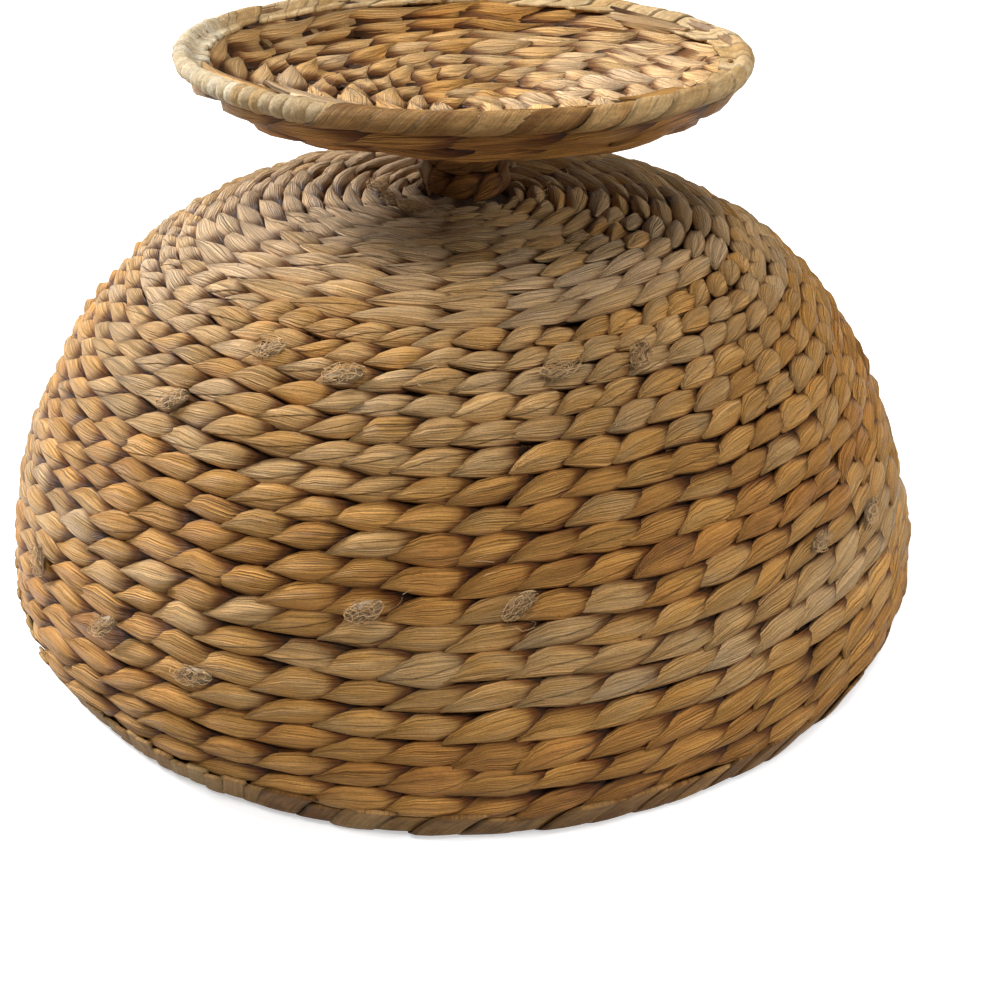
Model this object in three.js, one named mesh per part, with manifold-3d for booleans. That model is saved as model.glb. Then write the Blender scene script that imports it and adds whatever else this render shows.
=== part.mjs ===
// Footed fruit basket twined from seagrass leaf, lying mouth down as it was photographed.
// Millimetres, +Z up. The origin is on the basket's axis, on the plane that the bowl's rim rests on.
import * as THREE from 'three';
import { mergeVertices } from 'three/addons/utils/BufferGeometryUtils.js';
import Module from 'manifold-3d';

// Bowl: its outer surface, followed from the rim up to the crown
const bellyRadius = 165;         // widest outside radius
const bellyHeight = 17.8;        // height of the widest place above the floor
const lipRadius = 32;            // arc that draws the wall in below and just above the belly
const lipLean = 15;              // degrees the wall leans in at the end of the lip's arc
const sideRadius = 227;          // long gentle arc of the side
const sideLean = 30;             // degrees the wall leans in where the shoulder starts
const shoulderRadius = 109;      // arc of the shoulder, up to the flat crown
const crownRadius = 20.5;        // knot of crossed stakes at the centre
const bowlCourses = 28;          // rows of twining between rim and crown
const crownPitchShare = 0.78;    // height of the last course as a share of the first one's

// Bowl rim
const bowlHoopInset = 7.6;       // centre line of the cane hoop, in from the widest radius
const bowlHoopThick = 5.8;       // diameter of the cane
const bowlWrapThick = 1;         // leaf wound round the hoop
const bowlFirstCourse = 11.2;    // height of the first course's lower edge

// Strands and stakes of the bowl
const bowlOuterStrand = 3.4;     // strand that passes outside the stakes
const bowlInnerStrand = 2.8;     // strand that passes inside them
const bowlStakeThick = 2.2;
const bowlStakeWidth = 2.6;
const bowlPairs = 27;            // stakes leave the crown in pairs
const bowlPairsOpen = 90;        // radius where each pair opens into two stakes
const bowlSplay = 16;            // length over which a pair spreads apart
const bowlStakeTurn = 4;         // degrees the first pair is turned from +X

// Foot dish and stem
const stemLength = 17.9;         // from the bowl's crown to the underside of the dish
const stemRadius = 16;
const footHoopRadius = 86.7;     // centre line of the foot's hoop
const footHoopThick = 4.2;
const footWrapThick = 0.8;
const footSlope = 10.8;          // degrees the underside rises from the stem outwards
const footCurlRadius = 36;       // arc that turns the underside up to its rim
const footRimLean = 47;          // degrees the underside has turned up by at the rim
const footWallDrop = 5.8;        // how far below the hoop's centre the wall ends
const footHubRadius = 20.5;      // first turns of weft round the top of the stem
const footCourses = 6;           // coarser than the bowl's
const footPitchShare = 0.7;      // width of the outermost course as a share of the innermost one's
const footOuterStrand = 2.6;
const footInnerStrand = 2.6;
const footStakeThick = 2;
const footStakeWidth = 2.6;
const footPairs = 10;
const footPairsOpen = 45;
const footSplay = 10;
const footStakeTurn = 0;
const stemCourses = 2;
const stemStrand = 3.2;
const stemStakes = 8;
const stemStakeThick = 2;
const stemStakeWidth = 3;

// Clearances and the number of flats round each ring
const gap = 0.3;                 // between pieces that touch on the real basket
const bowlFlats = 30;
const footFlats = 24;
const stemFlats = 16;
const coursesPerBend = 4;        // courses between two bends of a bowl stake
const footCoursesPerBend = 2;
const knotOverlap = 3;           // how far the stakes run into the knot that binds them
const halvings = 40;             // steps of the search for a place on the bowl's wall

const leaf = { color: 0xb98f5a, roughness: 0.62 };
const wrapLeaf = { color: 0xbfa479, roughness: 0.6 };
const shadedLeaf = { color: 0x9b7446, roughness: 0.65 };
const cane = { color: 0xc8a676, roughness: 0.55 };

const basket = new THREE.Group();

const radians = THREE.MathUtils.degToRad;

// A flat-sided ring's faces lie this much nearer the axis than its corners do
const flatDrop = (radius, flats) => radius * (1 - Math.cos(Math.PI / flats));

function addPiece(name, geometry, look) {
  const material = new THREE.MeshStandardMaterial({ ...look, metalness: 0 });
  const mesh = new THREE.Mesh(geometry, material);
  mesh.name = name;
  basket.add(mesh);
}

// Turns an outline of [radius, height] points, which starts and ends on the Z axis, round it
function turnedSolid(outline, flats) {
  const points = outline.map(([r, z]) => new THREE.Vector2(r, z));
  return new THREE.LatheGeometry(points, flats).rotateX(Math.PI / 2);
}

// Turns a closed outline, given anticlockwise and clear of the axis, into a ring
function turned(outline, flats) {
  return turnedSolid([...outline, outline[0]], flats);
}

const wasm = await Module();
wasm.setup();

// Joins closed geometries that overlap into one body
function joined(geometries) {
  const solids = geometries.map((geometry) => {
    const bare = geometry.clone();
    bare.deleteAttribute('normal');
    bare.deleteAttribute('uv');
    const merged = mergeVertices(bare);
    return new wasm.Manifold(new wasm.Mesh({
      numProp: 3,
      vertProperties: merged.attributes.position.array,
      triVerts: new Uint32Array(merged.index.array),
    }));
  });
  const mesh = wasm.Manifold.union(solids).getMesh();
  const result = new THREE.BufferGeometry();
  result.setAttribute('position', new THREE.BufferAttribute(mesh.vertProperties, 3));
  result.setIndex(new THREE.BufferAttribute(mesh.triVerts, 1));
  return result;
}

// One stake: a strip between two depths of a wall, through places given as [along, angle round the axis]
function stake(wall, places, [shallow, deep], width) {
  const corners = [];
  for (const [along, angle] of places) {
    for (const [depth, side] of [[shallow, -0.5], [shallow, 0.5], [deep, 0.5], [deep, -0.5]]) {
      const [r, z] = wall(along, depth);
      const across = side * width;
      const x = r * Math.cos(angle) - across * Math.sin(angle);
      const y = r * Math.sin(angle) + across * Math.cos(angle);
      corners.push(x, y, z);
    }
  }
  const faces = [0, 2, 1, 0, 3, 2];
  for (let i = 0; i + 1 < places.length; i += 1) {
    for (let j = 0; j < 4; j += 1) {
      const a = 4 * i + j;
      const b = 4 * i + ((j + 1) % 4);
      faces.push(a, b, b + 4, a, b + 4, a + 4);
    }
  }
  const last = 4 * (places.length - 1);
  faces.push(last, last + 1, last + 2, last, last + 2, last + 3);
  const geometry = new THREE.BufferGeometry();
  geometry.setAttribute('position', new THREE.Float32BufferAttribute(corners, 3));
  geometry.setIndex(faces);
  return geometry;
}

// Stakes that leave a knot in pairs, side by side, and open into single stakes further out.
// Both lists of places run along the wall the same way, and a pair opens where they meet.
function stakeCage(wall, knot, trunk, branch, layer, width, pairs, firstTurn) {
  const bodies = [knot];
  const step = (2 * Math.PI) / pairs;
  const along = (places) => [...places].sort((a, b) => a[0] - b[0]);
  for (let i = 0; i < pairs; i += 1) {
    const angle = i * step + radians(firstTurn);
    bodies.push(stake(wall, along(trunk.map((place) => [place, angle])), layer, width));
    for (const side of [-0.25, 0.25]) {
      const places = branch.map((place, j) => [place, angle + (j > 0 ? side * step : 0)]);
      bodies.push(stake(wall, along(places), layer, width));
    }
  }
  return joined(bodies);
}

// An upright disc of one thickness, which binds the ends of the stakes
function disc(radius, bottom, top, flats) {
  const geometry = new THREE.CylinderGeometry(radius, radius, top - bottom, flats);
  return geometry.rotateX(Math.PI / 2).translate(0, 0, (bottom + top) / 2);
}

// Bowl wall: the point at a distance along the outer surface from the belly, set in by a depth
const lipTurn = radians(lipLean);
const sideTurn = radians(sideLean);
const lipLength = lipRadius * lipTurn;
const sideLength = sideRadius * (sideTurn - lipTurn);
const shoulderLength = shoulderRadius * (Math.PI / 2 - sideTurn);

function bowlWall(along, depth) {
  const lipCentre = bellyRadius - lipRadius;
  const sideCentre = lipCentre + (lipRadius - sideRadius) * Math.cos(lipTurn);
  const sideCentreHeight = bellyHeight + (lipRadius - sideRadius) * Math.sin(lipTurn);
  const shoulderCentre = sideCentre + (sideRadius - shoulderRadius) * Math.cos(sideTurn);
  const shoulderHeight = sideCentreHeight + (sideRadius - shoulderRadius) * Math.sin(sideTurn);
  const onArc = (centre, height, radius, turn) => [
    centre + (radius - depth) * Math.cos(turn),
    height + (radius - depth) * Math.sin(turn),
  ];
  if (along < lipLength) return onArc(lipCentre, bellyHeight, lipRadius, along / lipRadius);
  const pastLip = along - lipLength;
  if (pastLip < sideLength) {
    return onArc(sideCentre, sideCentreHeight, sideRadius, lipTurn + pastLip / sideRadius);
  }
  const pastSide = pastLip - sideLength;
  if (pastSide < shoulderLength) {
    return onArc(shoulderCentre, shoulderHeight, shoulderRadius, sideTurn + pastSide / shoulderRadius);
  }
  return [shoulderCentre - (pastSide - shoulderLength), shoulderHeight + shoulderRadius - depth];
}

// Distance along the wall where its outer surface has come in to a radius, above the belly
function bowlAlongAt(radius) {
  let low = 0;
  let high = lipLength + sideLength + shoulderLength + bellyRadius;
  for (let i = 0; i < halvings; i += 1) {
    const middle = (low + high) / 2;
    if (bowlWall(middle, 0)[0] > radius) low = middle;
    else high = middle;
  }
  return low;
}

// Edges of courses laid from one end of a wall to the other, their height changing steadily
function courseEdges(start, end, count, lastShare) {
  const step = (1 - lastShare) / (count - 1);
  const first = ((end - start) / count) * (2 / (1 + lastShare));
  const edges = [];
  for (let i = 0; i <= count; i += 1) {
    edges.push(start + first * (i - (step * i * (i - 1)) / 2));
  }
  return edges;
}

const bowlStart = -lipRadius * Math.asin((bellyHeight - bowlFirstCourse) / lipRadius);
const bowlEnd = bowlAlongAt(crownRadius);
const bowlEdges = courseEdges(bowlStart, bowlEnd, bowlCourses, crownPitchShare);
const crownHeight = bowlWall(bowlEnd, 0)[1];

const bowlStakeDepth = bowlOuterStrand + gap + flatDrop(bellyRadius, bowlFlats);
const bowlLiningDepth = bowlStakeDepth + bowlStakeThick + gap;
const bowlWallThick = bowlLiningDepth + bowlInnerStrand;

// One course: a band of the outer strand between two edges, with a slit to its neighbours
function courseBand(wall, from, to, thick) {
  const low = from + gap / 2;
  const high = to - gap / 2;
  return [wall(low, thick), wall(low, 0), wall(high, 0), wall(high, thick)];
}

for (let i = 0; i < bowlCourses; i += 1) {
  const band = courseBand(bowlWall, bowlEdges[i], bowlEdges[i + 1], bowlOuterStrand);
  addPiece(`bowl_course_${String(i + 1).padStart(2, '0')}`, turned(band, bowlFlats), leaf);
}

// Both faces of the inner weft, which lines a wall at a depth
function liningFaces(wall, bends, shallow, deep) {
  const outer = bends.map((along) => wall(along, shallow));
  const inner = bends.map((along) => wall(along, deep));
  return { outer, inner };
}

const bowlBends = bowlEdges.filter((edge, i) => i % coursesPerBend === 0);
const bowlLining = liningFaces(bowlWall, bowlBends, bowlLiningDepth, bowlWallThick);
addPiece('bowl_inner_weft', turnedSolid([
  [0, crownHeight - bowlWallThick],
  ...bowlLining.inner.reverse(),
  ...bowlLining.outer,
  [0, crownHeight - bowlLiningDepth],
], bowlFlats), leaf);

// The stakes run down between the two sides of the rim's wrap to just above the hoop
const bowlHoopHalf = bowlHoopThick / 2;
const bowlWrapHalf = bowlHoopHalf + gap + bowlWrapThick;
const stakeFootHeight = bowlWrapHalf + bowlHoopHalf + gap;
const stakeFootTurn = Math.asin((bellyHeight - stakeFootHeight) / (lipRadius - bowlStakeDepth));
const stakeFoot = -lipRadius * stakeFootTurn;
const bowlLayer = [bowlStakeDepth, bowlStakeDepth + bowlStakeThick];
const bowlFork = bowlAlongAt(bowlPairsOpen);
const bowlSpread = bowlFork - bowlSplay;
const bowlKnot = disc(crownRadius, crownHeight - bowlLayer[1], crownHeight - bowlLayer[0], bowlFlats);
const bowlTrunkBends = bowlBends.filter((bend) => bend > bowlFork && bend < bowlEnd);
const bowlTrunk = [bowlEnd + knotOverlap, ...bowlTrunkBends, bowlFork];
const bowlBranchBends = bowlBends.filter((bend) => bend < bowlSpread);
const bowlBranch = [bowlFork, bowlSpread, ...bowlBranchBends.reverse(), stakeFoot];
const bowlCage = stakeCage(
  bowlWall, bowlKnot, bowlTrunk, bowlBranch, bowlLayer, bowlStakeWidth, bowlPairs, bowlStakeTurn);
addPiece('bowl_stakes', bowlCage, cane);

// Crown: the first tight turns of weft, which cover the knot of crossed stakes
const crownEdge = crownRadius - gap;
addPiece('bowl_crown', turnedSolid([
  [0, crownHeight - bowlOuterStrand],
  [crownEdge, crownHeight - bowlOuterStrand],
  [crownEdge, crownHeight],
  [0, crownHeight],
], bowlFlats), shadedLeaf);

// Points of an eight-sided section whose flats lie at a distance from its centre
function eightSided(centre, height, distance, from, to) {
  const corner = distance / Math.cos(Math.PI / 8);
  const points = [];
  for (let i = from; i <= to; i += 1) {
    const turn = ((i - 0.5) * Math.PI) / 4;
    points.push([centre + corner * Math.cos(turn), height + corner * Math.sin(turn)]);
  }
  return points;
}

// Bowl rim: the hoop, and the leaf wound round it and up over the wall's edge on both sides
const bowlHoopRadius = bellyRadius - bowlHoopInset;
addPiece('bowl_rim_hoop',
  turned(eightSided(bowlHoopRadius, bowlWrapHalf, bowlHoopHalf, 0, 7), bowlFlats), cane);

const bowlWrapEnd = bowlStart - gap;
addPiece('bowl_rim_wrap', turned([
  ...eightSided(bowlHoopRadius, bowlWrapHalf, bowlWrapHalf, -4, 1),
  bowlWall(bowlWrapEnd, 0),
  bowlWall(bowlWrapEnd, bowlWrapThick),
  ...eightSided(bowlHoopRadius, bowlWrapHalf, bowlHoopHalf + gap, -4, 1).reverse(),
  bowlWall(bowlWrapEnd, bowlWallThick - bowlWrapThick),
  bowlWall(bowlWrapEnd, bowlWallThick),
], bowlFlats), wrapLeaf);

// Foot dish: its underside, as a distance outwards from the stem, set in by a depth
const neckHeight = crownHeight + stemLength;
const slopeTurn = radians(footSlope);
const rimTurn = radians(footRimLean);
const curlCentre = footHoopRadius - footCurlRadius * Math.sin(rimTurn);
const curlStart = curlCentre + footCurlRadius * Math.sin(slopeTurn);
const slopeLength = (curlStart - stemRadius) / Math.cos(slopeTurn);
const curlLength = footCurlRadius * (rimTurn - slopeTurn);
const curlStartHeight = neckHeight + slopeLength * Math.sin(slopeTurn);
const curlCentreHeight = curlStartHeight + footCurlRadius * Math.cos(slopeTurn);

function footWall(along, depth) {
  if (along < slopeLength) {
    return [
      stemRadius + along * Math.cos(slopeTurn) - depth * Math.sin(slopeTurn),
      neckHeight + along * Math.sin(slopeTurn) + depth * Math.cos(slopeTurn),
    ];
  }
  const turn = slopeTurn + (along - slopeLength) / footCurlRadius;
  return [
    curlCentre + (footCurlRadius - depth) * Math.sin(turn),
    curlCentreHeight - (footCurlRadius - depth) * Math.cos(turn),
  ];
}

const footStart = (footHubRadius - stemRadius) / Math.cos(slopeTurn);
const footEdges = courseEdges(footStart, slopeLength + curlLength, footCourses, footPitchShare);
const footEnd = footEdges[footCourses];
const footStakeDepth = footOuterStrand + gap + flatDrop(footHoopRadius, footFlats);
const footLiningDepth = footStakeDepth + footStakeThick + gap;
const footWallThick = footLiningDepth + footInnerStrand;

for (let i = 0; i < footCourses; i += 1) {
  const band = courseBand(footWall, footEdges[i], footEdges[i + 1], footOuterStrand);
  addPiece(`foot_course_${i + 1}`, turned(band, footFlats), shadedLeaf);
}

const footBends = footEdges.filter((edge, i) => i % footCoursesPerBend === 0);
const footLining = liningFaces(footWall, footBends, footLiningDepth, footWallThick);
addPiece('foot_inner_weft', turnedSolid([
  [0, footLining.outer[0][1]],
  ...footLining.outer,
  ...footLining.inner.reverse(),
  [0, footWall(footStart, footWallThick)[1]],
], footFlats), leaf);

const footLayer = [footStakeDepth, footStakeDepth + footStakeThick];
const footKnotFrom = footStart - knotOverlap;
const footKnotSides = footLayer.map((depth) => footWall(footKnotFrom, depth)[1]);
const footKnot = disc(footWall(footStart, footLayer[1])[0], ...footKnotSides, footFlats);
const footFork = (footPairsOpen - stemRadius) / Math.cos(slopeTurn);
const footSpread = footFork + footSplay;
const footTrunkBends = footBends.filter((bend) => bend > footKnotFrom && bend < footFork);
const footTrunk = [footKnotFrom, ...footTrunkBends, footFork];
const footBranchBends = footBends.filter((bend) => bend > footSpread);
const footBranch = [footFork, footSpread, ...footBranchBends];
const footCage = stakeCage(
  footWall, footKnot, footTrunk, footBranch, footLayer, footStakeWidth, footPairs, footStakeTurn);
addPiece('foot_stakes', footCage, cane);

// Hub: the first turns of weft under the dish, level on top, where the stem ends
const hubEdge = footWall(footStart - gap, 0);
const hubEdgeTop = footWall(footStart - gap, footOuterStrand);
addPiece('foot_hub', turnedSolid([
  [0, neckHeight],
  [stemRadius, neckHeight],
  hubEdge,
  hubEdgeTop,
  [0, hubEdgeTop[1]],
], footFlats), shadedLeaf);

// Foot rim: the hoop, and the leaf wound round it and down over the wall's edge
const footHoopHalf = footHoopThick / 2;
const footWrapHalf = footHoopHalf + gap + footWrapThick;
const footHoopHeight = footWall(footEnd, 0)[1] + footWallDrop;
addPiece('foot_rim_hoop',
  turned(eightSided(footHoopRadius, footHoopHeight, footHoopHalf, 0, 7), footFlats), cane);

const footWrapEnd = footEnd + gap;
addPiece('foot_rim_wrap', turned([
  footWall(footWrapEnd, 0),
  ...eightSided(footHoopRadius, footHoopHeight, footWrapHalf, -1, 4),
  footWall(footWrapEnd, footWallThick),
  footWall(footWrapEnd, footWallThick - footWrapThick),
  ...eightSided(footHoopRadius, footHoopHeight, footHoopHalf + gap, -1, 4).reverse(),
  footWall(footWrapEnd, footWrapThick),
], footFlats), wrapLeaf);

// Stem: the bound stakes, whose outermost ones stand proud, and the courses twined round them
const stemBottom = crownHeight + gap;
const stemTop = neckHeight - gap;
const stemMiddle = (stemBottom + stemTop) / 2;
const stemStakeOuter = stemRadius - stemStrand - flatDrop(stemRadius, stemFlats) - gap;
const stemBundleRadius = stemStakeOuter - stemStakeThick / 2;
const stemBodies = [disc(stemBundleRadius, stemBottom, stemTop, stemFlats)];
for (let i = 0; i < stemStakes; i += 1) {
  const proud = new THREE.BoxGeometry(stemStakeThick, stemStakeWidth, stemTop - stemBottom);
  proud.translate(stemStakeOuter - stemStakeThick / 2, 0, stemMiddle);
  stemBodies.push(proud.rotateZ((i * 2 * Math.PI) / stemStakes));
}
addPiece('stem_stakes', joined(stemBodies), cane);

const stemWall = (along, depth) => [stemRadius - depth, stemBottom + along];
const stemEdges = courseEdges(-gap / 2, stemTop - stemBottom + gap / 2, stemCourses, 1);
for (let i = 0; i < stemCourses; i += 1) {
  const band = courseBand(stemWall, stemEdges[i], stemEdges[i + 1], stemStrand);
  addPiece(`stem_course_${i + 1}`, turned(band, stemFlats), shadedLeaf);
}

export default basket;
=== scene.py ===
import bpy
import random
from math import asin, cos, degrees, dist, exp, pi, radians, sin
from mathutils import Matrix, Vector, noise


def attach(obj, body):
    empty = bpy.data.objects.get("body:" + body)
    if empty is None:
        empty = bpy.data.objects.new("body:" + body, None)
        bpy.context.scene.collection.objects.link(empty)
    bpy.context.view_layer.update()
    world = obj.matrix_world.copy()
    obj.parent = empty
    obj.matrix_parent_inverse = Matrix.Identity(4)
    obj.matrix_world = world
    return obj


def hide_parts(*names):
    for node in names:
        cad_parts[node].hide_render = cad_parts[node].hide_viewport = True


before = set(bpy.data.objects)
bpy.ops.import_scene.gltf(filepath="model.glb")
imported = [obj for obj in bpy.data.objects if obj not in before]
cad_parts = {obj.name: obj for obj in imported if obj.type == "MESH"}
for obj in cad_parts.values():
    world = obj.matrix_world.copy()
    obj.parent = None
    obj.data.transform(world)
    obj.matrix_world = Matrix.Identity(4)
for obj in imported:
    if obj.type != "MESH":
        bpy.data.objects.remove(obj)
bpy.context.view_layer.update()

mm = 0.001
print("frame loaded:", len(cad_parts), "nodes")


# Makes a node, sets its options and fills or links its inputs, by name or by place
def addNode(tree, kind, inputs=None, **settings):
    node = tree.nodes.new(kind)
    for name, value in settings.items():
        setattr(node, name, value)
    for key, value in (inputs or {}).items():
        if isinstance(value, bpy.types.NodeSocket):
            tree.links.new(value, node.inputs[key])
        else:
            node.inputs[key].default_value = value
    return node


# An empty node tree on a material or on the world
def emptyTree(owner):
    owner.use_nodes = True
    owner.node_tree.nodes.clear()
    return owner.node_tree


def addObject(name, data):
    item = bpy.data.objects.new(name, data)
    bpy.context.scene.collection.objects.link(item)
    return item


def mathNode(tree, operation, first, second=0.0, third=None):
    inputs = {0: first, 1: second}
    if third is not None:
        inputs[2] = third
    return addNode(tree, "ShaderNodeMath", inputs, operation=operation).outputs[0]


def joinedNode(tree, x, y, z):
    return addNode(tree, "ShaderNodeCombineXYZ", {0: x, 1: y, 2: z}).outputs[0]


def splitNode(tree, vector):
    return addNode(tree, "ShaderNodeSeparateXYZ", {0: vector}).outputs


def vectorNode(tree, operation, first, second=None, scale=None):
    inputs = {0: first}
    if second is not None:
        inputs[1] = second
    if scale is not None:
        inputs["Scale"] = scale
    return addNode(tree, "ShaderNodeVectorMath", inputs, operation=operation).outputs[0]


# The basket's walls, as sections of [radius, height] in millimetres followed from one end to the other

bowlShape = {
    "bellyRadius": 165, "bellyHeight": 17.8,     # widest place
    "lipRadius": 32, "lipLean": 15,
    "sideRadius": 227, "sideLean": 30,
    "shoulderRadius": 109,
    "crownRadius": 20.5,
    "firstRow": 11.2,        # height of the first row's lower edge
    "rows": 28, "lastRow": 0.78,
    "wall": 9.9,
    "runOn": (12, 20),       # how far the section goes on past the rows at either end
}


def bowlWall(along, depth=0.0):
    shape = bowlShape
    lipTurn, sideTurn = radians(shape["lipLean"]), radians(shape["sideLean"])
    lip, side, shoulder = shape["lipRadius"], shape["sideRadius"], shape["shoulderRadius"]
    lipX = shape["bellyRadius"] - lip
    sideX = lipX + (lip - side) * cos(lipTurn)
    sideZ = shape["bellyHeight"] + (lip - side) * sin(lipTurn)
    shoulderX = sideX + (side - shoulder) * cos(sideTurn)
    shoulderZ = sideZ + (side - shoulder) * sin(sideTurn)
    arcs = [
        (lipX, shape["bellyHeight"], lip, 0.0, lip * lipTurn),
        (sideX, sideZ, side, lipTurn, side * (sideTurn - lipTurn)),
        (shoulderX, shoulderZ, shoulder, sideTurn, shoulder * (pi / 2 - sideTurn)),
    ]
    for x, z, radius, turn, length in arcs:
        if along < length:
            turn += along / radius
            return x + (radius - depth) * cos(turn), z + (radius - depth) * sin(turn)
        along -= length
    return shoulderX - along, shoulderZ + shoulder - depth


# Edges of rows laid from one end of a wall to the other, their height changing steadily
def rowEdges(start, end, count, lastShare):
    step = (1 - lastShare) / (count - 1)
    first = (end - start) / count * 2 / (1 + lastShare)
    return [start + first * (i - step * i * (i - 1) / 2) for i in range(count + 1)]


def alongAt(wall, radius, low, high):
    for _ in range(40):
        middle = (low + high) / 2
        if wall(middle)[0] > radius:
            low = middle
        else:
            high = middle
    return low


lip = bowlShape["lipRadius"]
bowlStart = -lip * asin((bowlShape["bellyHeight"] - bowlShape["firstRow"]) / lip)
bowlEnd = alongAt(bowlWall, bowlShape["crownRadius"], 0, 400)
bowlRows = rowEdges(bowlStart, bowlEnd, bowlShape["rows"], bowlShape["lastRow"])
crownHeight = bowlWall(bowlEnd)[1]

footShape = {
    "stemLength": 17.9, "stemRadius": 16,
    "hoopRadius": 86.7,
    "slope": 10.8,           # degrees that the underside rises outwards
    "curl": 36, "rimLean": 47,
    "hub": 20.5,
    "rows": 6, "lastRow": 0.7,
    "wall": 8.5,
    "runOn": (19, 12),
}
neckHeight = crownHeight + footShape["stemLength"]


def footWall(along, depth=0.0):
    shape = footShape
    slope, lean, curl = radians(shape["slope"]), radians(shape["rimLean"]), shape["curl"]
    curlX = shape["hoopRadius"] - curl * sin(lean)
    straight = (curlX + curl * sin(slope) - shape["stemRadius"]) / cos(slope)
    if along < straight:
        return (shape["stemRadius"] + along * cos(slope) - depth * sin(slope),
                neckHeight + along * sin(slope) + depth * cos(slope))
    curlZ = neckHeight + straight * sin(slope) + curl * cos(slope)
    turn = slope + (along - straight) / curl
    return curlX + (curl - depth) * sin(turn), curlZ - (curl - depth) * cos(turn)


footSlope, footLean = radians(footShape["slope"]), radians(footShape["rimLean"])
footStart = (footShape["hub"] - footShape["stemRadius"]) / cos(footSlope)
footStraight = (footShape["hoopRadius"] - footShape["stemRadius"]
                + footShape["curl"] * (sin(footSlope) - sin(footLean))) / cos(footSlope)
footEnd = footStraight + footShape["curl"] * (footLean - footSlope)
footRows = rowEdges(footStart, footEnd, footShape["rows"], footShape["lastRow"])


# The underside of the dish, level where the stem joins it
def dishWall(along, depth=0.0):
    if along >= footStart:
        return footWall(along, depth)
    hubX, hubZ = footWall(footStart, 0)
    return hubX - (footStart - along), hubZ + depth


print("walls laid out")


cameraPlace = {
    "eye": (1.377, -393.52, 261.89),
    "pitch": 0.5665, "roll": 0.0187, "yaw": 0.0304,
    "lens": 43.2,
}


def addCamera():
    pitch, roll, yaw = (cameraPlace[key] for key in ("pitch", "roll", "yaw"))
    ahead = Vector((sin(yaw) * cos(pitch), cos(yaw) * cos(pitch), -sin(pitch)))
    right = Vector((cos(yaw), -sin(yaw), 0))
    up = right.cross(ahead)
    side = cos(roll) * right + sin(roll) * up
    top = -sin(roll) * right + cos(roll) * up
    camera = addObject("camera", bpy.data.cameras.new("camera"))
    camera.data.lens = cameraPlace["lens"]
    camera.data.sensor_width = 36
    camera.data.clip_start = 0.01
    turn = Matrix((side, top, -ahead)).transposed().to_4x4()
    camera.matrix_world = Matrix.Translation(Vector(cameraPlace["eye"]) * mm) @ turn
    bpy.context.scene.camera = camera


addCamera()


# Leaf shapes for the stitches

stitchShape = {
    "reach": 0.88,           # half a stitch's length, as a share of the distance between stitches
    "top": 0.52, "blunt": 0.75,              # the edge's height, as a share of a row; under 1, blunter tails
    "fuller": 1.08,
    "tailDive": 1.8, "headDive": 6.6,        # how far the ends sink, mm: tails lie over heads
    "diveCurve": 2.1,
    "crown": 4.5,            # height of the leaf's back over its edges, mm
    "shoulder": 0.82, "square": 3.6, "round": 0.55,      # the back's section
    "thick": 1.0,
    "rings": 9,
    "behindThick": 0.8, "behindHalf": (0.55, 0.54),      # the other strand, which crosses behind the stitch
}
plainLeaf = {
    "tip": 0.42, "corner": 0.05,             # height of the tips and place of the corner, as shares
    "width": 1, "crown": 1,
    "facets": 0.45, "ridgeAt": 0, "ridgeTurn": 0.3,      # how flat the back's sides are, and where they meet
    "fold": 0, "lift": 0, "foldAt": -0.1, "foldRise": 0.45,      # a fold along the leaf; depths in mm
}


# Upper edge of a stitch, as a share of the row's height: up from the tail to a corner, then nearly level.
# The lower edge is the same, turned half round.
def stitchEdge(s, tip, corner):
    top = stitchShape["top"]
    if s < corner:
        rise = sin(pi / 2 * (s + 1) / (1 + corner)) ** stitchShape["blunt"]
        return -tip + (tip + top) * rise
    return top - (0.5 - tip) * (s - corner) / (1 - corner)


# Makes a mesh from points that each have a place in space and a place on the leaf
def leafUvMesh(name, points, faces):
    mesh = bpy.data.meshes.new(name)
    mesh.from_pydata([place for place, spot in points], [], faces)
    layer = mesh.uv_layers.new(name="leafUV")
    for loop in mesh.loops:
        layer.data[loop.index].uv = points[loop.vertex_index][1]
    return mesh


# Closes rings of such points, one tip at either end, into one shape, with a flat strand beside it if given
def ringMesh(name, rings, tips, strand=None):
    count = len(rings[0])
    points = [point for ring in rings for point in ring] + list(tips)
    faces = []
    for i in range(len(rings) - 1):
        for j in range(count):
            a, b = i * count + j, i * count + (j + 1) % count
            faces.append((a + count, b + count, b, a))
    last = (len(rings) - 1) * count
    for j in range(count):
        k = (j + 1) % count
        faces.append((j, k, len(rings) * count))
        faces.append((last + k, last + j, len(rings) * count + 1))
    if strand:
        start = len(points)
        points += strand
        faces += [tuple(start + i for i in face) for face in (
            (0, 1, 2, 3), (7, 6, 5, 4), (4, 5, 1, 0), (5, 6, 2, 1), (6, 7, 3, 2), (7, 4, 0, 3))]
    return leafUvMesh(name, points, faces)


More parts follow.
